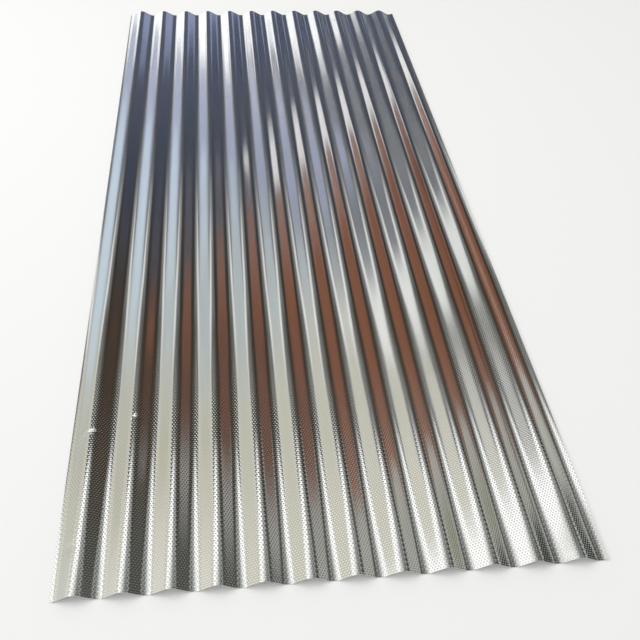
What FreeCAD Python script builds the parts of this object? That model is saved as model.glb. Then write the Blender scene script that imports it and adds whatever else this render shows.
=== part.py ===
"""Corrugated aluminium roofing sheet.

One sheet of metal, roll-formed into parallel corrugations and cut square at both ends. It lies flat on
its troughs: X runs across the corrugations, Y along them and Z up. The origin is on the plane that the
sheet lies on, at the middle of its width and length.

The left edge ends at the bottom of a trough. The right edge rises past the last trough: on a roof this
side lap hooks over the edge of the next sheet.
"""

import FreeCAD, Part
import math
import os

import Sketcher

# Driving dimensions in millimetres, except for the number of corrugations, and what each one measures.
DIMENSIONS = {
    "sheet_length": (2200, "Along the corrugations"),
    "pitch": (76.2, "From crest to crest"),
    "corrugations": (12, "Whole crests across the sheet"),
    "side_lip": (12, "Right edge past the middle of the last trough"),
    "profile_depth": (16, "From the underside of the troughs to the top of the crests"),
    "thickness": (0.7, "Sheet metal"),
    "bend_radius": (20, "Crests and troughs, to the middle of the metal"),
}
TABLE_NAME = "Dimensions"
NODE_NAME = "corrugated_sheet"

# What an expression calls each dimension, and the sizes that follow from them.
SIZES = {alias: f"{TABLE_NAME}.{alias}" for alias in DIMENSIONS}
OVERALL_WIDTH = "({corrugations} * {pitch} + {side_lip})".format(**SIZES)
OUTER_BEND = "{bend_radius} + {thickness} / 2".format(**SIZES)
INNER_BEND = "{bend_radius} - {thickness} / 2".format(**SIZES)
HALF_PITCH = "{pitch} / 2".format(**SIZES)
CENTRE_DROP = "2 * {bend_radius} + {thickness} - {profile_depth}".format(**SIZES)

# Points of a sketch's line or arc, and the sketch's own origin and X axis.
START, END, CENTRE = 1, 2, 3
SKETCH_ORIGIN = (-1, START)
SKETCH_X_AXIS = -1


def add_table(doc):
    """Writes the driving dimensions into a spreadsheet, one aliased cell each."""
    table = doc.addObject("Spreadsheet::Sheet", TABLE_NAME)
    for row, (alias, (value, meaning)) in enumerate(DIMENSIONS.items(), start=1):
        table.set(f"A{row}", meaning)
        table.set(f"B{row}", str(value))
        table.setAlias(f"B{row}", alias)
    doc.recompute()
    return table


def add_section_sketch(body, name):
    """An empty sketch on the body's own upright plane, which cuts across the corrugations."""
    sketch = body.newObject("Sketcher::SketchObject", name)
    plane = next(feature for feature in body.Origin.OriginFeatures if feature.Role == "XZ_Plane")
    sketch.AttachmentSupport = [(plane, "")]
    sketch.MapMode = "FlatFace"
    return sketch


def bind(sketch, name, expression, kind, *where):
    """Adds a named dimension to a sketch and ties it to an expression over the spreadsheet."""
    size = sketch.evalExpression(expression)
    index = sketch.addConstraint(Sketcher.Constraint(kind, *where, float(size)))
    sketch.renameConstraint(index, name)
    sketch.setExpression(f"Constraints.{name}", expression)


def flank_slope(table):
    """The angle of the straight flank that runs tangent from a crest's bend to a trough's bend."""
    half_pitch = table.pitch / 2
    drop = 2 * table.bend_radius + table.thickness - table.profile_depth
    reach = math.hypot(half_pitch, drop)
    return math.asin(2 * table.bend_radius / reach) - math.atan2(drop, half_pitch)


def draw_surface(sketch, table, crest_radius, trough_radius):
    """Draws one side of the metal, from the middle of a trough over a crest to the next trough.

    Returns the numbers of the left trough's arc, the crest's arc and the right trough's arc.
    """
    slope = flank_slope(table)
    outer_bend = table.bend_radius + table.thickness / 2
    left_x = -(table.corrugations * table.pitch + table.side_lip) / 2
    left = FreeCAD.Vector(left_x, outer_bend, 0)
    crest = FreeCAD.Vector(left_x + table.pitch / 2, table.profile_depth - outer_bend, 0)
    right = FreeCAD.Vector(left_x + table.pitch, outer_bend, 0)
    up, down = math.pi / 2, -math.pi / 2

    def bend(centre, radius, first_angle, last_angle):
        circle = Part.Circle(centre, FreeCAD.Vector(0, 0, 1), radius)
        return sketch.addGeometry(Part.ArcOfCircle(circle, first_angle, last_angle))

    def flank(trough, side):
        lean = FreeCAD.Vector(side * math.sin(slope), math.cos(slope), 0)
        crest_end = crest + lean * crest_radius
        trough_end = trough - lean * trough_radius
        return sketch.addGeometry(Part.LineSegment(crest_end, trough_end))

    left_trough = bend(left, trough_radius, down, down + slope)
    left_flank = flank(left, -1)
    crest_bend = bend(crest, crest_radius, up - slope, up + slope)
    right_flank = flank(right, 1)
    right_trough = bend(right, trough_radius, down - slope, down)
    for joint in (
        (left_trough, END, left_flank, END),
        (left_flank, START, crest_bend, END),
        (crest_bend, START, right_flank, START),
        (right_flank, END, right_trough, START),
    ):
        sketch.addConstraint(Sketcher.Constraint("Tangent", *joint))
    return left_trough, crest_bend, right_trough


def close_end(sketch, table, upper, lower, end):
    """Joins the two sides of the metal by an upright edge at the bottom of a trough."""
    foot = FreeCAD.Vector(sketch.getPoint(lower, end).x, 0, 0)
    edge = sketch.addGeometry(Part.LineSegment(foot + FreeCAD.Vector(0, table.thickness, 0), foot))
    sketch.addConstraint(Sketcher.Constraint("Coincident", edge, START, upper, end))
    sketch.addConstraint(Sketcher.Constraint("Coincident", edge, END, lower, end))
    sketch.addConstraint(Sketcher.Constraint("Vertical", edge))
    sketch.addConstraint(Sketcher.Constraint("Vertical", upper, end, upper, CENTRE))
    sketch.addConstraint(Sketcher.Constraint("PointOnObject", lower, end, SKETCH_X_AXIS))


def add_corrugation(body, table):
    """The first corrugation at the left edge: its section, padded to the sheet's length."""
    sketch = add_section_sketch(body, "CorrugationSection")
    outer, inner = table.bend_radius + table.thickness / 2, table.bend_radius - table.thickness / 2
    top = draw_surface(sketch, table, outer, inner)
    underside = draw_surface(sketch, table, inner, outer)
    for upper, lower in zip(top, underside):
        sketch.addConstraint(Sketcher.Constraint("Coincident", upper, CENTRE, lower, CENTRE))
    close_end(sketch, table, top[0], underside[0], START)
    close_end(sketch, table, top[2], underside[2], END)

    left, crest, right = top
    left_under, crest_under, right_under = underside
    bind(sketch, "crest_outside", OUTER_BEND, "Radius", crest)
    bind(sketch, "crest_inside", INNER_BEND, "Radius", crest_under)
    bind(sketch, "left_trough_inside", INNER_BEND, "Radius", left)
    bind(sketch, "left_trough_outside", OUTER_BEND, "Radius", left_under)
    bind(sketch, "right_trough_inside", INNER_BEND, "Radius", right)
    bind(sketch, "right_trough_outside", OUTER_BEND, "Radius", right_under)
    bind(sketch, "edge_to_middle", f"{OVERALL_WIDTH} / 2", "DistanceX", left, CENTRE, *SKETCH_ORIGIN)
    bind(sketch, "trough_to_crest", HALF_PITCH, "DistanceX", left, CENTRE, crest, CENTRE)
    bind(sketch, "crest_to_trough", HALF_PITCH, "DistanceX", crest, CENTRE, right, CENTRE)
    bind(sketch, "centre_drop", CENTRE_DROP, "DistanceY", crest, CENTRE, left, CENTRE)

    pad = body.newObject("PartDesign::Pad", "Corrugation")
    pad.Profile = sketch
    pad.SideType = "Symmetric"
    pad.setExpression("Length", SIZES["sheet_length"])
    pad.Refine = True
    return sketch, pad


def repeat_corrugation(body, sketch, corrugation):
    """Repeats the corrugation across the sheet, and once more for the metal of the side lap."""
    row = body.newObject("PartDesign::LinearPattern", "Corrugations")
    row.Originals = [corrugation]
    row.Direction = (sketch, ["H_Axis"])
    row.Mode = "Spacing"
    row.setExpression("Offset", SIZES["pitch"])
    row.setExpression("Occurrences", "{corrugations} + 1".format(**SIZES))
    row.Refine = True
    body.Tip = row
    return row


def trim_right_edge(body, table):
    """Shears off what lies past the side lap's edge, over the whole length."""
    sketch = add_section_sketch(body, "OffcutSection")
    edge_x = (table.corrugations * table.pitch + table.side_lip) / 2
    corners = [
        FreeCAD.Vector(edge_x, -table.profile_depth, 0),
        FreeCAD.Vector(edge_x + table.pitch, -table.profile_depth, 0),
        FreeCAD.Vector(edge_x + table.pitch, 2 * table.profile_depth, 0),
        FreeCAD.Vector(edge_x, 2 * table.profile_depth, 0),
    ]
    sides = [
        sketch.addGeometry(Part.LineSegment(first, second))
        for first, second in zip(corners, corners[1:] + corners[:1])
    ]
    for side, following in zip(sides, sides[1:] + sides[:1]):
        sketch.addConstraint(Sketcher.Constraint("Coincident", side, END, following, START))
    low, far, high, near = sides
    for side in (low, high):
        sketch.addConstraint(Sketcher.Constraint("Horizontal", side))
    for side in (far, near):
        sketch.addConstraint(Sketcher.Constraint("Vertical", side))
    bind(sketch, "middle_to_edge", f"{OVERALL_WIDTH} / 2", "DistanceX", *SKETCH_ORIGIN, low, START)
    bind(sketch, "offcut_width", SIZES["pitch"], "DistanceX", low, START, low, END)
    bind(sketch, "reach_below", SIZES["profile_depth"], "DistanceY", low, START, *SKETCH_ORIGIN)
    bind(sketch, "offcut_height", "3 * {profile_depth}".format(**SIZES), "DistanceY", far, START, far, END)

    trim = body.newObject("PartDesign::Pocket", "RightEdge")
    trim.Profile = sketch
    trim.SideType = "Symmetric"
    trim.Type = "ThroughAll"
    trim.Refine = True
    return trim


def add_sheet(doc, table):
    """The whole sheet: one body, formed as a row of corrugations and sheared at its right edge."""
    body = doc.addObject("PartDesign::Body", "CorrugatedSheet")
    body.Label = NODE_NAME
    body.Placement = FreeCAD.Placement()
    sketch, corrugation = add_corrugation(body, table)
    doc.recompute()
    repeat_corrugation(body, sketch, corrugation)
    doc.recompute()
    body.Tip = trim_right_edge(body, table)
    doc.recompute()
    return body


def check(doc, bodies):
    """Stops with the names of objects that failed to build, or whose sketch still has loose sizes."""
    failed = [item.Label for item in doc.Objects if {"Invalid", "Error"} & set(item.State)]
    for body in bodies:
        if body.Shape.isNull() or not body.Shape.isValid() or len(body.Shape.Solids) != 1:
            failed.append(body.Label)
    for sketch in doc.findObjects("Sketcher::SketchObject"):
        if sketch.solve() != 0 or not sketch.FullyConstrained:
            failed.append(sketch.Label)
    if failed:
        raise RuntimeError(f"These objects did not build: {', '.join(failed)}")


def export(bodies):
    """Writes each body to parts/LABEL.step."""
    os.makedirs("parts", exist_ok=True)
    for body in bodies:
        body.Shape.exportStep(f"parts/{body.Label}.step")
        box = body.Shape.BoundBox
        print(
            f"{body.Label}: {box.XLength:.2f} x {box.YLength:.2f} x {box.ZLength:.3f} mm,"
            f" volume {body.Shape.Volume / 1000:.1f} cm3, {len(body.Shape.Faces)} faces"
        )


def main():
    """Builds the document, checks it and writes its parts."""
    doc = FreeCAD.newDocument("RoofingSheet")
    table = add_table(doc)
    bodies = [add_sheet(doc, table)]
    check(doc, bodies)
    export(bodies)


main()
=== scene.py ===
"""Looks of a corrugated roofing sheet in bare, embossed aluminium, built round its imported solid.

The sheet lies flat: X runs across the corrugations, Y along them and Z up, in metres.
"""

import logging
import math
from dataclasses import dataclass, field
from enum import Enum

import bpy
import numpy as np
from mathutils import Matrix, Vector


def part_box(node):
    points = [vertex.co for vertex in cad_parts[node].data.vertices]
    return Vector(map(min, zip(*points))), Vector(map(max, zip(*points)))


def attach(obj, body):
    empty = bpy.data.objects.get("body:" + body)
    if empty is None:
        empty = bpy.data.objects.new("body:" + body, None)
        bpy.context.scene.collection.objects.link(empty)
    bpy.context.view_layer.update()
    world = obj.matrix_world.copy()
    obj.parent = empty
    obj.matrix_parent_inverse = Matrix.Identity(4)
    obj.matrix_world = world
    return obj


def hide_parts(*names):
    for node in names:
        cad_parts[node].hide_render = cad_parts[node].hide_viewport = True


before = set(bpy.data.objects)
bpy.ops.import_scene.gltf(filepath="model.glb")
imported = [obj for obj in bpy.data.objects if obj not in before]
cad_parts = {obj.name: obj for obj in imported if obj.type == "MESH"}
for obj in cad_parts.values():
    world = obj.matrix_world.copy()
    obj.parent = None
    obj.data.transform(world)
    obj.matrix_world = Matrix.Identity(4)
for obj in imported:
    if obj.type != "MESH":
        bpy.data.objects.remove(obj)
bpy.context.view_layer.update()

LOG = logging.getLogger("roofing_sheet")
MM = 0.001
SHEET_NODE = "corrugated_sheet"
DEVELOPED_MAP = "Developed"
FACE_SIDE = "face_side"


class Face(Enum):
    """The two faces of the metal, with the direction that each one looks in."""

    UPPER = 1.0
    UNDER = -1.0


def linear(hex_colour: str) -> tuple[float, float, float, float]:
    """Turns an sRGB hex colour into the linear colour that shaders take.

    Args:
        hex_colour: Six hex digits, such as "C8C4B4".

    Returns:
        Linear red, green and blue, with an alpha of 1.
    """
    channels = [int(hex_colour[i : i + 2], 16) / 255 for i in (0, 2, 4)]
    return (*(c / 12.92 if c <= 0.04045 else ((c + 0.055) / 1.055) ** 2.4 for c in channels), 1.0)


def add_node(
    tree: bpy.types.NodeTree, kind: str, inputs: dict | None = None, **settings: object
) -> bpy.types.Node:
    """Adds a node with its settings, and links or sets its inputs.

    Args:
        tree: The node tree that gets the node.
        kind: The node's type name.
        inputs: Input name or number to a value, or to the output socket that feeds it.
        **settings: Properties of the node itself.

    Returns:
        The new node.
    """
    node = tree.nodes.new(kind)
    for name, value in settings.items():
        setattr(node, name, value)
    for key, value in (inputs or {}).items():
        if isinstance(value, bpy.types.NodeSocket):
            tree.links.new(value, node.inputs[key])
        else:
            node.inputs[key].default_value = value
    return node


@dataclass(frozen=True)
class Corrugation:
    """The wave that the sheet is rolled to: round bends joined by straight flanks.

    Every size is in metres. Places across the sheet are told by the length along the metal from the
    left edge, as on the flat sheet before it was rolled.
    """

    width: float
    depth: float
    crests: int = 12
    side_lip: float = 12 * MM
    thickness: float = 0.7 * MM
    bend_radius: float = 20 * MM

    @property
    def pitch(self) -> float:
        """From crest to crest."""
        return (self.width - self.side_lip) / self.crests

    @property
    def slope(self) -> float:
        """The flank's angle, tangent to a crest's bend and to a trough's bend of the same radius."""
        half_pitch = self.pitch / 2
        drop = 2 * self.bend_radius + self.thickness - self.depth
        reach = math.hypot(half_pitch, drop)
        return math.asin(2 * self.bend_radius / reach) - math.atan2(drop, half_pitch)

    @property
    def bend_length(self) -> float:
        """Metal in half of one bend."""
        return self.bend_radius * self.slope

    @property
    def flank_length(self) -> float:
        """Metal in one straight flank."""
        across = self.pitch / 2 - 2 * self.bend_radius * math.sin(self.slope)
        return across / math.cos(self.slope)

    @property
    def half_wave(self) -> float:
        """Metal from the middle of a trough to the middle of the next crest."""
        return 2 * self.bend_length + self.flank_length

    @property
    def flat_width(self) -> float:
        """Metal from the left edge to the right one, which is the width of the flat sheet."""
        past_bend = self.side_lip - self.bend_radius * math.sin(self.slope)
        lip = self.bend_length + past_bend / math.cos(self.slope)
        return 2 * self.half_wave * self.crests + lip

    def middle_line(self, run: np.ndarray) -> tuple[np.ndarray, np.ndarray, np.ndarray]:
        """Follows the middle of the metal across the sheet.

        Within a half wave, the first bend is an arc up from the trough, x = R sin a and
        z = R (1 - cos a), with a the run divided by R. The flank goes on straight at the slope. The
        last bend is the first one turned about the middle of the flank. The other half wave is its
        mirror image.

        Args:
            run: Lengths along the metal from the left edge.

        Returns:
            Distance from the left edge, height above the trough's middle line, and the metal's angle.
        """
        radius, slope, bend = self.bend_radius, self.slope, self.bend_length
        wave = 2 * self.half_wave
        into_wave = np.mod(run, wave)
        rising = into_wave <= self.half_wave
        into_half = np.where(rising, into_wave, wave - into_wave)
        from_end = self.half_wave - into_half
        to_nearer_bend = np.minimum(into_half, from_end)
        angle = np.minimum(to_nearer_bend, bend) / radius
        on_flank = np.maximum(to_nearer_bend - bend, 0)
        x = radius * np.sin(angle) + on_flank * math.cos(slope)
        z = radius * (1 - np.cos(angle)) + on_flank * math.sin(slope)
        upper_half = into_half > from_end
        x = np.where(upper_half, self.pitch / 2 - x, x)
        z = np.where(upper_half, self.depth - self.thickness - z, z)
        x = np.where(rising, x, self.pitch - x) + np.floor(run / wave) * self.pitch
        return x, z, np.where(rising, angle, -angle)


@dataclass(frozen=True)
class Dent:
    """A small hollow or kink where the metal was knocked, with soft edges.

    Sizes are in metres: its place on the sheet, its reach to each side of it, and its depth.
    """

    x: float
    y: float
    reach_x: float
    reach_y: float
    depth: float

    def sink(self, x: np.ndarray, y: np.ndarray) -> np.ndarray:
        """How far the metal is pressed in: the depth times a bell curve of the distance.

        Args:
            x: Places across the sheet.
            y: Places along it.

        Returns:
            The sink at each place, in metres.
        """
        away = ((x - self.x) / self.reach_x) ** 2 + ((y - self.y) / self.reach_y) ** 2
        return self.depth * np.exp(-away)


@dataclass(frozen=True)
class MillAluminium:
    """Bare aluminium as it leaves the rolling mill, with an embossed grain.

    A low roughness keeps the bright and dark bands of a mirror, and the embossed dots break their
    borders into a fine sparkle. Thin rolling oil and handling make the gloss uneven.
    """

    colour: str = "F5F6F6"
    dull_colour: str = "EAEAE8"
    roughness: tuple[float, float] = (0.02, 0.07)
    dot_spacing: float = 5.3 * MM
    dot_height: float = 0.04 * MM
    land: float = 0.2
    fillet: float = 1.0
    smear_length: float = 180 * MM
    smear_width: float = 24 * MM
    smear_range: tuple[float, float] = (0.35, 0.7)
    unevenness: float = 8 * MM
    uneven_share: float = 1.0

    def dots(self, tree: bpy.types.NodeTree, place: bpy.types.NodeSocket) -> bpy.types.NodeSocket:
        """The embossed grain: a lattice of dots whose rows run across the sheet, on flat land.

        Each dot has six neighbours at the dot spacing. Its height is the sum of three cosine waves that
        run at 60 degrees to each other, each as long as the gap between two rows of dots. What lies
        below the land is filled up to it, so the land between the dots stays flat and mirror-like.

        Args:
            tree: The material's node tree.
            place: The developed coordinates, in metres.

        Returns:
            The height, from the land's to 3 on top of the dots.
        """
        row_gap = self.dot_spacing * math.sin(math.radians(60))
        total = None
        for degrees in (30, 90, 150):
            turn = 2 * math.pi / row_gap
            angle = math.radians(degrees)
            across = (turn * math.cos(angle), turn * math.sin(angle), 0)
            phase = add_node(
                tree, "ShaderNodeVectorMath", {0: place, 1: across}, operation="DOT_PRODUCT"
            )
            wave = add_node(tree, "ShaderNodeMath", {0: phase.outputs["Value"]}, operation="COSINE")
            if total is None:
                total = wave.outputs[0]
            else:
                joined = {0: total, 1: wave.outputs[0]}
                total = add_node(tree, "ShaderNodeMath", joined, operation="ADD").outputs[0]
        filled = {0: total, 1: self.land, 2: self.fillet}
        return add_node(tree, "ShaderNodeMath", filled, operation="SMOOTH_MAX").outputs[0]

    def material(self) -> bpy.types.Material:
        """Builds the finish on developed coordinates, so that the grain follows the bent metal."""
        made = bpy.data.materials.new("mill_finish_embossed_aluminium")
        made.use_nodes = True
        tree = made.node_tree
        tree.nodes.clear()
        place = add_node(tree, "ShaderNodeUVMap", uv_map=DEVELOPED_MAP).outputs["UV"]
        side = add_node(
            tree, "ShaderNodeAttribute", attribute_type="GEOMETRY", attribute_name=FACE_SIDE
        ).outputs["Fac"]

        stretch = (1 / self.smear_width, 1 / self.smear_length, 1)
        smears = add_node(
            tree,
            "ShaderNodeTexNoise",
            {
                "Vector": add_node(
                    tree, "ShaderNodeVectorMath", {0: place, 1: stretch}, operation="MULTIPLY"
                ).outputs[0],
                "Scale": 1.0,
                "Detail": 5.0,
                "Roughness": 0.6,
            },
        ).outputs["Fac"]
        gloss = add_node(
            tree,
            "ShaderNodeMapRange",
            {
                "Value": smears,
                "From Min": self.smear_range[0],
                "From Max": self.smear_range[1],
                "To Min": self.roughness[0],
                "To Max": self.roughness[1],
            },
        ).outputs["Result"]
        tone = add_node(
            tree,
            "ShaderNodeMix",
            {"Factor": smears, "A": linear(self.colour), "B": linear(self.dull_colour)},
            data_type="RGBA",
        ).outputs["Result"]

        uneven = add_node(
            tree,
            "ShaderNodeTexNoise",
            {"Vector": place, "Scale": 1 / self.unevenness, "Detail": 2.0},
        ).outputs["Fac"]
        height = add_node(
            tree,
            "ShaderNodeMath",
            {0: uneven, 1: self.uneven_share, 2: self.dots(tree, place)},
            operation="MULTIPLY_ADD",
        ).outputs[0]
        turned = add_node(
            tree, "ShaderNodeMath", {0: height, 1: side}, operation="MULTIPLY"
        ).outputs[0]
        grain = add_node(
            tree, "ShaderNodeBump", {"Height": turned, "Strength": 1.0, "Distance": self.dot_height}
        ).outputs["Normal"]
        shader = add_node(
            tree,
            "ShaderNodeBsdfPrincipled",
            {"Base Color": tone, "Metallic": 1.0, "Roughness": gloss, "Normal": grain},
        )
        add_node(tree, "ShaderNodeOutputMaterial", {"Surface": shader.outputs[0]})
        return made


@dataclass(frozen=True)
class ShearedAluminium:
    """The guillotined edge of the sheet: half burnished by the blade and half torn, so duller."""

    colour: str = "D9DADC"
    roughness: tuple[float, float] = (0.28, 0.5)
    streak: float = 0.9 * MM
    streak_range: tuple[float, float] = (0.3, 0.7)
    burr_height: float = 0.1 * MM
    burr_strength: float = 0.6

    def material(self) -> bpy.types.Material:
        """Builds the finish: fine streaks through the thickness of the metal."""
        made = bpy.data.materials.new("sheared_aluminium_edge")
        made.use_nodes = True
        tree = made.node_tree
        tree.nodes.clear()
        place = add_node(tree, "ShaderNodeTexCoord").outputs["Object"]
        stretch = (1 / self.streak, 1 / self.streak, 0.1 / self.streak)
        streaks = add_node(
            tree,
            "ShaderNodeTexNoise",
            {
                "Vector": add_node(
                    tree, "ShaderNodeVectorMath", {0: place, 1: stretch}, operation="MULTIPLY"
                ).outputs[0],
                "Scale": 1.0,
                "Detail": 3.0,
            },
        ).outputs["Fac"]
        gloss = add_node(
            tree,
            "ShaderNodeMapRange",
            {
                "Value": streaks,
                "From Min": self.streak_range[0],
                "From Max": self.streak_range[1],
                "To Min": self.roughness[0],
                "To Max": self.roughness[1],
            },
        ).outputs["Result"]
        burr = add_node(
            tree,
            "ShaderNodeBump",
            {"Height": streaks, "Strength": self.burr_strength, "Distance": self.burr_height},
        ).outputs["Normal"]
        shader = add_node(
            tree,
            "ShaderNodeBsdfPrincipled",
            {
                "Base Color": linear(self.colour),
                "Metallic": 1.0,
                "Roughness": gloss,
                "Normal": burr,
            },
        )
        add_node(tree, "ShaderNodeOutputMaterial", {"Surface": shader.outputs[0]})
        return made


@dataclass
class RoofingSheet:
    """The whole sheet: one piece of metal with two embossed faces and four sheared edges."""

    low: Vector
    high: Vector
    columns_per_wave: int = 20
    row_gap: float = 17 * MM
    fine_gap: float = 3 * MM
    waviness: float = 0.35 * MM
    slow_waves: int = 9
    wave_lengths_along: tuple[float, float] = (0.16, 0.7)
    wave_lengths_across: tuple[float, float] = (0.12, 0.9)
    end_ripple: float = 0.5 * MM
    ripple_turns: tuple[float, float] = (61, 23)
    sharp_edge: float = 50
    seed: int = 12
    dents: tuple[Dent, ...] = (
        Dent(x=-430 * MM, y=-770 * MM, reach_x=16 * MM, reach_y=3.5 * MM, depth=0.9 * MM),
        Dent(x=-352 * MM, y=-740 * MM, reach_x=12 * MM, reach_y=3.5 * MM, depth=0.5 * MM),
        Dent(x=-466 * MM, y=-45 * MM, reach_x=9 * MM, reach_y=5 * MM, depth=1.2 * MM),
        Dent(x=-466 * MM, y=-915 * MM, reach_x=8 * MM, reach_y=5 * MM, depth=1.0 * MM),
        Dent(x=-440 * MM, y=-1010 * MM, reach_x=9 * MM, reach_y=10 * MM, depth=0.5 * MM),
        Dent(x=452 * MM, y=-1040 * MM, reach_x=40 * MM, reach_y=60 * MM, depth=2.2 * MM),
        Dent(x=400 * MM, y=-1085 * MM, reach_x=30 * MM, reach_y=45 * MM, depth=1.0 * MM),
    )
    wave: Corrugation = field(init=False)

    def __post_init__(self) -> None:
        """Takes the wave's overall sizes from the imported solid's box."""
        self.wave = Corrugation(width=self.high.x - self.low.x, depth=self.high.z - self.low.z)

    def row_places(self) -> np.ndarray:
        """Places along the sheet: even rows, with close rows through every dent."""
        length = self.high.y - self.low.y
        even = np.linspace(self.low.y, self.high.y, round(length / self.row_gap) + 1)
        rows = [even]
        for dent in self.dents:
            reach = 2 * dent.reach_y
            close = np.arange(dent.y - reach, dent.y + reach, max(self.fine_gap, dent.reach_y / 3))
            rows.append(close[(close > self.low.y) & (close < self.high.y)])
        places = np.sort(np.concatenate(rows))
        keep = np.concatenate([[True], np.diff(places) > self.fine_gap / 3])
        keep[-1] = True
        return places[keep]

    def hollow(self, x: np.ndarray, y: np.ndarray) -> np.ndarray:
        """How far the metal lies inside its nominal height: slow waves and the dents.

        The slow waves are a sum of sines with random lengths, directions and phases, raised so that
        they only ever press the metal in.

        Args:
            x: Places across the sheet.
            y: Places along it.

        Returns:
            The sink at each place, in metres.
        """
        random = np.random.default_rng(self.seed)
        total = np.zeros_like(x)
        for _ in range(self.slow_waves):
            along = 2 * math.pi / random.uniform(*self.wave_lengths_along)
            across = 2 * math.pi / random.uniform(*self.wave_lengths_across) * random.choice([-1, 1])
            total += np.sin(along * y + across * x + random.uniform(0, 2 * math.pi))
        sink = self.waviness * (0.5 + 0.5 * total / math.sqrt(self.slow_waves))
        sink = np.maximum(sink, 0)
        for dent in self.dents:
            sink = sink + dent.sink(x, y)
        return sink

    def face_points(self, face: Face, rows: np.ndarray, run: np.ndarray) -> np.ndarray:
        """Points of one face, as a grid of rows along the sheet by places across it.

        Each point is the middle line's, moved half the metal's thickness along its normal, which
        leans by the metal's angle. The metal sinks by the hollow, in full on top of a crest and not
        at all in a trough, and never goes below its lowest place. The two ends ripple inwards.

        Args:
            face: Which face of the metal.
            rows: Places along the sheet.
            run: Lengths along the metal from the left edge.

        Returns:
            An array of rows by columns by three.
        """
        across, height, angle = self.wave.middle_line(run)
        x, y = np.meshgrid(self.low.x + across, rows)
        share = height / (self.wave.depth - self.wave.thickness)
        sink = self.hollow(x, y)
        z = height + self.wave.thickness / 2 - sink * share
        z = np.maximum(z, self.wave.thickness / 2)
        half = face.value * self.wave.thickness / 2
        x = x - half * np.sin(angle)
        z = self.low.z + z + half * np.cos(angle)
        ends = np.zeros_like(y)
        quick, slow = self.ripple_turns
        ripple = self.end_ripple * (0.5 + 0.5 * np.sin(across * quick) * np.sin(across * slow + 1))
        ends[0], ends[-1] = ripple, -ripple[::-1]
        points = np.stack([x, y + ends, z], axis=-1)
        return np.clip(points, tuple(self.low), tuple(self.high))

    def build(self) -> bpy.types.Object:
        """Makes the closed sheet: both faces as grids, joined by strips as wide as the metal."""
        rows = self.row_places()
        waves = self.wave.flat_width / (2 * self.wave.half_wave)
        count = round(waves * self.columns_per_wave) + 1
        run = np.linspace(0, self.wave.flat_width, count)
        upper = self.face_points(Face.UPPER, rows, run)
        under = self.face_points(Face.UNDER, rows, run)
        size = len(rows) * count

        number = np.arange(size).reshape(len(rows), count)
        corners = [number[:-1, :-1], number[:-1, 1:], number[1:, 1:], number[1:, :-1]]
        quads = np.stack(corners, -1).reshape(-1, 4)
        sides = [number[0, :-1], number[:-1, -1], number[-1, :0:-1], number[:0:-1, 0]]
        rim = np.concatenate(sides)
        following = np.roll(rim, -1)
        strips = np.stack([rim, rim + size, following + size, following], -1)
        faces = np.concatenate([quads, quads[:, ::-1] + size, strips])

        mesh = bpy.data.meshes.new("embossed_sheet")
        points = np.concatenate([upper.reshape(-1, 3), under.reshape(-1, 3)])
        mesh.from_pydata(points, [], faces.tolist())
        self.add_maps(mesh, rows, run, len(quads))
        mesh.validate()
        piece = bpy.data.objects.new("embossed_sheet", mesh)
        bpy.context.scene.collection.objects.link(piece)
        mesh.materials.append(MillAluminium().material())
        mesh.materials.append(ShearedAluminium().material())
        return piece

    def add_maps(self, mesh: bpy.types.Mesh, rows: np.ndarray, run: np.ndarray, quads: int) -> None:
        """Gives the mesh its developed coordinates, and each face its side and its finish.

        Args:
            mesh: The sheet's mesh: upper face, under face, then the edge strips.
            rows: Places along the sheet.
            run: Lengths along the metal from the left edge.
            quads: How many faces each face of the metal has.
        """
        u, v = np.meshgrid(run, rows)
        flat = np.stack([u.ravel(), v.ravel()], -1)
        flat = np.concatenate([flat, flat])
        corner = np.empty(len(mesh.loops), np.int32)
        mesh.loops.foreach_get("vertex_index", corner)
        developed = mesh.uv_layers.new(name=DEVELOPED_MAP)
        developed.data.foreach_set("uv", flat[corner].astype(np.float32).ravel())

        edges = len(mesh.polygons) - 2 * quads
        side = np.repeat([Face.UPPER.value, Face.UNDER.value, 0.0], [quads, quads, edges])
        sides = mesh.attributes.new(FACE_SIDE, "FLOAT", "FACE")
        sides.data.foreach_set("value", side.astype(np.float32))
        mesh.polygons.foreach_set("material_index", (side == 0).astype(np.int32))
        mesh.polygons.foreach_set("use_smooth", np.ones(len(side), bool))
        mesh.set_sharp_from_angle(angle=math.radians(self.sharp_edge))
        mesh.update()

    def place(self) -> bpy.types.Object:
        """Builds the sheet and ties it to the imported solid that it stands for."""
        piece = self.build()
        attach(piece, "root")
        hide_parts(SHEET_NODE)
        triangles = sum(len(face.vertices) - 2 for face in piece.data.polygons)
        LOG.info("%s: %d triangles", piece.name, triangles)
        return piece


@dataclass(frozen=True)
class Card:
    """A painted reflection of a card, flag or softbox far from the sheet: only glossy rays see it, so
    it lights nothing.

    Angles are in degrees. Sideways is the angle out of the upright plane along the sheet, towards X.
    Rise turns about X, from the horizon ahead over the top to the horizon behind, so that a card with
    one rise is a long strip across the sheet's width.
    """

    name: str
    colour: str
    sideways: tuple[float, float]
    rise: tuple[float, float]
    # A strength over 1 paints a glint brighter than white into the reflection.
    strength: float = 1.0
    soft: float = 2.5


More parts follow.
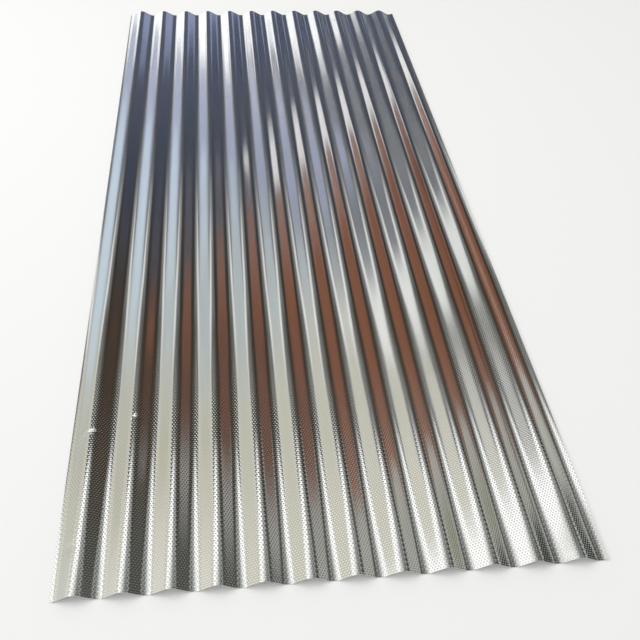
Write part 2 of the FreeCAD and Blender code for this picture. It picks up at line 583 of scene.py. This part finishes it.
@dataclass
class Studio:
    """A pale floor, soft light, and the painted reflection cards that give bare metal its light and
    dark bands.
    """

    floor_colour: str = "F4F4F2"
    floor_reach: float = 9.0
    # The painted reflection where no card lies; only glossy rays get it.
    around: str = "A4A6A4"
    even_light: float = 0.86
    lamp_energy: float = 26.0
    lamp_size: tuple[float, float] = (2.4, 3.2)
    lamp_place: tuple[float, float, float] = (-1.8, 0.6, 2.6)
    # Painted reflections only: pale cards are painted highlights, dark cards painted shade, and each
    # name tells what the card stands for.
    cards: tuple[Card, ...] = (
        Card("ceiling_left", "E8E7E0", (-90, -6), (60, 104), soft=5),
        Card("ceiling_right", "4E504A", (14, 90), (58, 76), soft=5),
        Card("cream_wall", "CCCABA", (-90, -27), (16, 53)),
        Card("cream_stain", "BCB7A2", (-52, -41), (18, 34), soft=3),
        Card("blue_grey_patch", "B2BBBE", (-40, -24), (17, 32), soft=3),
        Card("cream_glow", "E6E4DA", (-62, -46), (34, 46), soft=4),
        Card("white_strip", "FFFFFF", (-72, 4), (53, 60), strength=1.25, soft=2),
        Card("white_strip_end", "B4B5AE", (4, 22), (54, 58), soft=3),
        Card("slate_front", "444953", (-27, 34), (-12, 42), soft=3),
        Card("pale_patch", "F6F7F4", (-30, -7), (34, 40), strength=1.15, soft=1.5),
        Card("grey_patch", "A3A39E", (-9, 8), (34, 40), soft=3),
        Card("dark_beam", "3F3C34", (-24, 40), (42.5, 52), soft=1.2),
        Card("brown_beam", "3E362C", (12, 37), (31, 48), soft=3),
        Card("pale_blue_low", "CCDCEA", (-60, -24), (-12, 21), soft=4),
        Card("lavender_post", "979EBC", (-27, -20.5), (-12, 28), soft=1.2),
        Card("white_low", "FFFFFF", (-18.5, -12), (-12, 21), strength=1.4, soft=1),
        Card("white_low_left", "FFFFFF", (-22.5, -18), (-12, 16), strength=1.4, soft=1),
        Card("blue_low", "9AA4C4", (-13, 20), (-12, 19.5), soft=2),
        Card("slate_low", "3E4454", (19.5, 26.5), (-12, 27), soft=1.2),
        Card("window_gap", "FFFFFF", (27, 30.5), (-12, 18.5), strength=1.1, soft=1),
        Card("brick_wall", "855A46", (30.5, 50.5), (-12, 34), soft=1.5),
        Card("brick_shade", "64463A", (34, 46), (26, 38), soft=3),
        Card("garden", "B2B4AE", (50.5, 60), (-12, 43), soft=1.2),
        Card("dark_doorway", "35383A", (58.5, 84), (-12, 44), soft=1.5),
        Card("garden_leaf", "93957E", (54, 58), (20, 30), soft=2),
        Card("olive_shade", "484A44", (37, 62), (43, 60), soft=3),
        Card("lavender_side", "D2D4E2", (-90, -56), (-12, 33), soft=2),
        Card("back_white", "F4F4EE", (-52, -8), (112, 150), soft=4),
        Card("back_shade", "6E6E69", (-2, 20), (108, 150), soft=5),
        Card("back_pale", "E2E3DF", (30, 62), (100, 158), soft=5),
        Card("back_low", "868A8E", (-90, 90), (164, 192), soft=5),
    )

    def floor(self) -> bpy.types.Object:
        """A wide, plain floor under the sheet."""
        reach = self.floor_reach
        mesh = bpy.data.meshes.new("studio_floor")
        corners = [(-reach, -reach, 0), (reach, -reach, 0), (reach, reach, 0), (-reach, reach, 0)]
        mesh.from_pydata(corners, [], [(0, 1, 2, 3)])
        made = bpy.data.materials.new("matt_studio_floor")
        made.use_nodes = True
        tree = made.node_tree
        tree.nodes.clear()
        shader = add_node(tree, "ShaderNodeBsdfDiffuse", {"Color": linear(self.floor_colour)})
        add_node(tree, "ShaderNodeOutputMaterial", {"Surface": shader.outputs[0]})
        mesh.materials.append(made)
        floor = bpy.data.objects.new("studio_floor", mesh)
        bpy.context.scene.collection.objects.link(floor)
        return floor

    def world(self) -> None:
        """White to the camera, even light on matt surfaces, and the cards as a painted reflection in
        the metal.
        """
        world = bpy.data.worlds.new("studio")
        bpy.context.scene.world = world
        world.use_nodes = True
        tree = world.node_tree
        tree.nodes.clear()
        toward = add_node(tree, "ShaderNodeTexCoord").outputs["Generated"]
        parts = add_node(tree, "ShaderNodeSeparateXYZ", {0: toward}).outputs
        sideways = add_node(
            tree, "ShaderNodeMath", {0: parts["X"]}, operation="ARCSINE"
        ).outputs[0]
        rise = add_node(
            tree, "ShaderNodeMath", {0: parts["Z"], 1: parts["Y"]}, operation="ARCTAN2"
        ).outputs[0]
        painted_reflection = linear(self.around)
        for card in self.cards:
            painted_reflection = self.lay_card(tree, card, sideways, rise, painted_reflection)

        rays = add_node(tree, "ShaderNodeLightPath").outputs
        white = linear("FFFFFF")
        painted_reflection_shader, even, plain = (
            add_node(tree, "ShaderNodeBackground", {"Color": colour, "Strength": strength}).outputs[0]
            for colour, strength in ((painted_reflection, 1.0), (white, self.even_light), (white, 1.0))
        )
        # Only glossy rays get the painted reflection; the cards light nothing else.
        lit = add_node(
            tree, "ShaderNodeMixShader", {0: rays["Is Glossy Ray"], 1: even, 2: painted_reflection_shader}
        ).outputs[0]
        shown = add_node(
            tree, "ShaderNodeMixShader", {0: rays["Is Camera Ray"], 1: lit, 2: plain}
        ).outputs[0]
        add_node(tree, "ShaderNodeOutputWorld", {"Surface": shown})

    def lay_card(
        self,
        tree: bpy.types.NodeTree,
        card: Card,
        sideways: bpy.types.NodeSocket,
        rise: bpy.types.NodeSocket,
        behind: bpy.types.NodeSocket | tuple[float, float, float, float],
    ) -> bpy.types.NodeSocket:
        """Lays one card of painted reflection over what is behind it, with soft borders.

        Args:
            tree: The world's node tree.
            card: The card.
            sideways: The ray's angle out of the upright plane along the sheet, in radians.
            rise: The ray's angle about X, in radians.
            behind: The colour where the card isn't.

        Returns:
            The colour with the card in it.
        """
        cover = None
        for angle, span in ((sideways, card.sideways), (rise, card.rise)):
            for limit, inward in ((span[0], 1), (span[1], -1)):
                edge = math.radians(limit)
                soft = math.radians(card.soft) * inward
                inside = add_node(
                    tree,
                    "ShaderNodeMapRange",
                    {"Value": angle, "From Min": edge - soft, "From Max": edge + soft},
                    interpolation_type="SMOOTHSTEP",
                ).outputs["Result"]
                if cover is None:
                    cover = inside
                else:
                    joined = {0: cover, 1: inside}
                    cover = add_node(
                        tree, "ShaderNodeMath", joined, operation="MULTIPLY"
                    ).outputs[0]
        shine = tuple(c * card.strength for c in linear(card.colour)[:3])
        return add_node(
            tree,
            "ShaderNodeMix",
            {"Factor": cover, "A": behind, "B": (*shine, 1.0)},
            data_type="RGBA",
        ).outputs["Result"]

    def lamps(self) -> None:
        """One wide, soft lamp high on the left, for the shadow. The metal doesn't mirror it."""
        lamp = bpy.data.lights.new("softbox", "AREA")
        lamp.shape = "RECTANGLE"
        lamp.size, lamp.size_y = self.lamp_size
        lamp.energy = self.lamp_energy
        holder = bpy.data.objects.new("softbox", lamp)
        holder.location = self.lamp_place
        aim = Vector((0, 0, 0)) - holder.location
        holder.rotation_euler = aim.to_track_quat("-Z", "Y").to_euler()
        holder.visible_glossy = False
        holder.visible_camera = False
        bpy.context.scene.collection.objects.link(holder)


@dataclass(frozen=True)
class Viewpoint:
    """The camera: above the near end of the sheet, left of its middle, looking down its length."""

    place: tuple[float, float, float] = (-0.1538, -1.7747, 1.2417)
    aim: tuple[float, float, float] = (0.0345, -0.4791, 0.0)
    lean: float = 3.25
    lens: float = 46.38
    sensor: float = 36.0
    far_limit: float = 60.0

    def add(self) -> bpy.types.Object:
        """Adds the camera and makes it the scene's."""
        data = bpy.data.cameras.new("camera")
        data.lens = self.lens
        data.sensor_width = self.sensor
        data.clip_end = self.far_limit
        camera = bpy.data.objects.new("camera", data)
        toward = Vector(self.aim) - Vector(self.place)
        looking = toward.to_track_quat("-Z", "Y").to_matrix().to_4x4()
        leaning = Matrix.Rotation(math.radians(self.lean), 4, "Z")
        camera.matrix_world = Matrix.Translation(self.place) @ looking @ leaning
        bpy.context.scene.collection.objects.link(camera)
        bpy.context.scene.camera = camera
        return camera


def main() -> None:
    """Builds the sheet and the studio round it."""
    logging.basicConfig(level=logging.INFO, format="%(name)s: %(message)s")
    bpy.context.scene.view_settings.view_transform = "Standard"
    low, high = (Vector(corner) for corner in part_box(SHEET_NODE))
    RoofingSheet(low, high).place()
    studio = Studio()
    studio.floor()
    studio.world()
    studio.lamps()
    Viewpoint().add()


if __name__ == "__main__":
    main()
